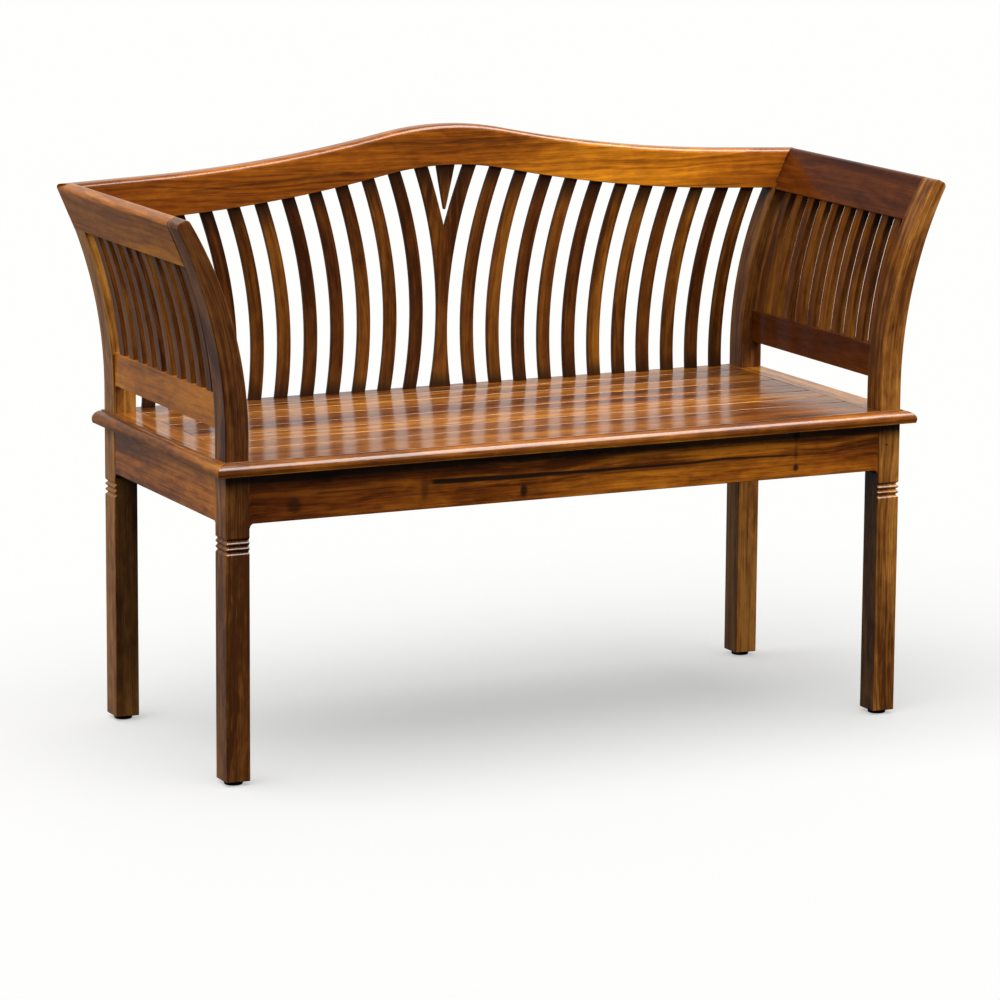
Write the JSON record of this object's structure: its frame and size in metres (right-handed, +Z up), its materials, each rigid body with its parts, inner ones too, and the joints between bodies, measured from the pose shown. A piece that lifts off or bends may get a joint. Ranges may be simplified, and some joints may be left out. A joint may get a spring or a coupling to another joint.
{
  "type": "deacons bench",
  "caption": "Lacquered wooden bench with a slatted seat, out-curving slatted arms and a serpentine back with a Y-shaped centre splat.",
  "frame": {"origin": "on the floor, under the middle of the bounding box", "axes": "+X along the bench to the right as seen from the front, +Y from the front of the seat to the back, +Z up"},
  "size_m": [1.1876, 0.476, 0.84],
  "materials": {
    "frame_wood": "clear gloss lacquer over brown stain",
    "apron_wood": "clear gloss lacquer over orange-brown stain",
    "seat_wood": "clear gloss lacquer over orange-brown stain",
    "rail_wood": "clear gloss lacquer over orange-brown stain",
    "slat_wood": "clear gloss lacquer over dark brown stain",
    "glide": "dull dark plastic"
  },
  "bodies": {
    "root": {"leg_front_left": "frame_wood", "leg_front_right": "frame_wood", "leg_back_left": "frame_wood", "leg_back_right": "frame_wood", "floor_glides": "glide", "apron_front": "apron_wood", "apron_back": "apron_wood", "apron_left": "apron_wood", "apron_right": "apron_wood", "seat_frame_front": "seat_wood", "seat_frame_back": "seat_wood", "seat_frame_left": "seat_wood", "seat_frame_right": "seat_wood", "seat_slat_1": "seat_wood", "seat_slat_2": "seat_wood", "seat_slat_3": "seat_wood", "seat_slat_4": "seat_wood", "seat_slat_5": "seat_wood", "seat_slat_6": "seat_wood", "seat_slat_7": "seat_wood", "post_front_left": "frame_wood", "post_front_right": "frame_wood", "post_back_left": "frame_wood", "post_back_right": "frame_wood", "arm_top_rail_left": "rail_wood", "arm_top_rail_right": "rail_wood", "arm_lower_rail_left": "rail_wood", "arm_lower_rail_right": "rail_wood", "arm_slats_left": "slat_wood", "arm_slats_right": "slat_wood", "crest_rail": "rail_wood", "back_slat_left_1": "slat_wood", "back_slat_left_2": "slat_wood", "back_slat_left_3": "slat_wood", "back_slat_left_4": "slat_wood", "back_slat_left_5": "slat_wood", "back_slat_left_6": "slat_wood", "back_slat_left_7": "slat_wood", "back_slat_left_8": "slat_wood", "back_slat_left_9": "slat_wood", "back_slat_left_10": "slat_wood", "back_slat_left_11": "slat_wood", "back_slat_right_1": "slat_wood", "back_slat_right_2": "slat_wood", "back_slat_right_3": "slat_wood", "back_slat_right_4": "slat_wood", "back_slat_right_5": "slat_wood", "back_slat_right_6": "slat_wood", "back_slat_right_7": "slat_wood", "back_slat_right_8": "slat_wood", "back_slat_right_9": "slat_wood", "back_slat_right_10": "slat_wood", "back_slat_right_11": "slat_wood", "y_splat": "slat_wood", "crest_wedge": "slat_wood"}
  },
  "joints": []
}
